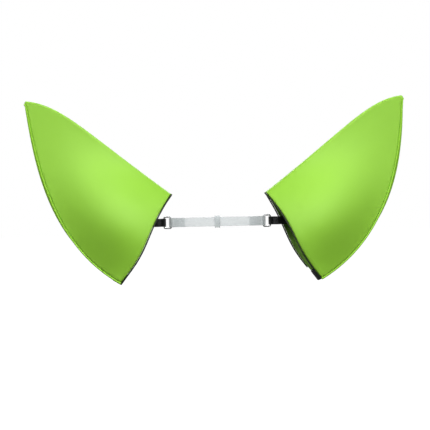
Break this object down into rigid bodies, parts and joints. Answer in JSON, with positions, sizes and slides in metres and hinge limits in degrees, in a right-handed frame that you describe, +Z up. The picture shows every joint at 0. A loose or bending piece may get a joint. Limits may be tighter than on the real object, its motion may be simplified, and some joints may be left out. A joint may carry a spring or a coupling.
{
  "type": "pair of costume shoulder wings",
  "caption": "Pair of pointed foam and fabric shoulder wings with padded seats, elastic arm straps and an elastic link across the back.",
  "frame": {"origin": "on the symmetry plane, midway between the two wings, at the height of the tops of the shoulders", "axes": "+X to the wearer's left, -Y to the wearer's front, +Z up"},
  "size_m": [0.6562, 0.1325, 0.3167],
  "materials": {
    "cover_fabric": "smooth lime-green bonded fabric, soft satin sheen",
    "edge_fabric": "lime-green folded binding tape",
    "dark_binding": "dark green binding tape, matte",
    "panel_foam": "off-white closed-cell foam",
    "lining_fabric": "matte green woven lining",
    "pad_fabric": "matte green knit over soft filling",
    "elastic": "black ribbed woven elastic",
    "webbing": "black woven tape",
    "stay_steel": "flat spring steel",
    "ring_wire": "nickel-plated wire",
    "keeper_plastic": "black moulded plastic, satin",
    "clear_elastic": "clear, slightly frosted polyurethane elastic band",
    "clear_plastic": "clear moulded plastic"
  },
  "bodies": {
    "harness": {"link_strap": "clear_elastic"},
    "link_keeper": {"link_keeper": "clear_plastic"},
    "left_wing": {"left_front_cover": "cover_fabric", "left_back_cover": "cover_fabric", "left_front_core": "panel_foam", "left_back_core": "panel_foam", "left_front_lining": "lining_fabric", "left_back_lining": "lining_fabric", "left_ridge_piping": "edge_fabric", "left_front_hem_binding": "edge_fabric", "left_back_hem_binding": "edge_fabric", "left_armhole_binding": "dark_binding", "left_ridge_stay": "stay_steel", "left_stay_casing": "webbing", "left_shoulder_pad": "pad_fabric", "left_pad_web": "lining_fabric", "left_arm_strap": "elastic", "left_front_strap_patch": "webbing", "left_back_strap_tab": "webbing", "left_link_tab": "webbing", "left_link_ring": "ring_wire"},
    "left_ring": {"left_strap_ring": "ring_wire"},
    "left_keeper": {"left_strap_keeper": "keeper_plastic"},
    "right_wing": {"right_front_cover": "cover_fabric", "right_back_cover": "cover_fabric", "right_front_core": "panel_foam", "right_back_core": "panel_foam", "right_front_lining": "lining_fabric", "right_back_lining": "lining_fabric", "right_ridge_piping": "edge_fabric", "right_front_hem_binding": "edge_fabric", "right_back_hem_binding": "edge_fabric", "right_armhole_binding": "dark_binding", "right_ridge_stay": "stay_steel", "right_stay_casing": "webbing", "right_shoulder_pad": "pad_fabric", "right_pad_web": "lining_fabric", "right_arm_strap": "elastic", "right_front_strap_patch": "webbing", "right_back_strap_tab": "webbing", "right_link_tab": "webbing", "right_link_ring": "ring_wire"},
    "right_ring": {"right_strap_ring": "ring_wire"},
    "right_keeper": {"right_strap_keeper": "keeper_plastic"}
  },
  "joints": [
    {"name": "link_keeper_slide", "type": "slide", "parent": "harness", "child": "link_keeper", "axis": [1, 0, 0], "range_m": [-0.035, 0.035]},
    {"name": "left_wing_fold", "type": "hinge", "parent": "harness", "child": "left_wing", "pos_m": [0.08, 0.04, -0.038], "axis": [0, 0, -1], "range_deg": [-15, 45]},
    {"name": "left_ring_rock", "type": "hinge", "parent": "left_wing", "child": "left_ring", "pos_m": [0.18721, 0.0352, -0.11361], "axis": [-0.6018, 0, 0.7986], "range_deg": [-8, 8]},
    {"name": "left_keeper_slide", "type": "slide", "parent": "left_wing", "child": "left_keeper", "axis": [0.5447, 0.7314, 0.4104], "range_m": [-0.008, 0.008]},
    {"name": "right_wing_fold", "type": "hinge", "parent": "harness", "child": "right_wing", "pos_m": [-0.08, 0.04, -0.038], "axis": [0, 0, 1], "range_deg": [-15, 45]},
    {"name": "right_ring_rock", "type": "hinge", "parent": "right_wing", "child": "right_ring", "pos_m": [-0.18721, 0.0352, -0.11361], "axis": [0.6018, 0, 0.7986], "range_deg": [-8, 8]},
    {"name": "right_keeper_slide", "type": "slide", "parent": "right_wing", "child": "right_keeper", "axis": [-0.5447, 0.7314, 0.4104], "range_m": [-0.008, 0.008]}
  ]
}
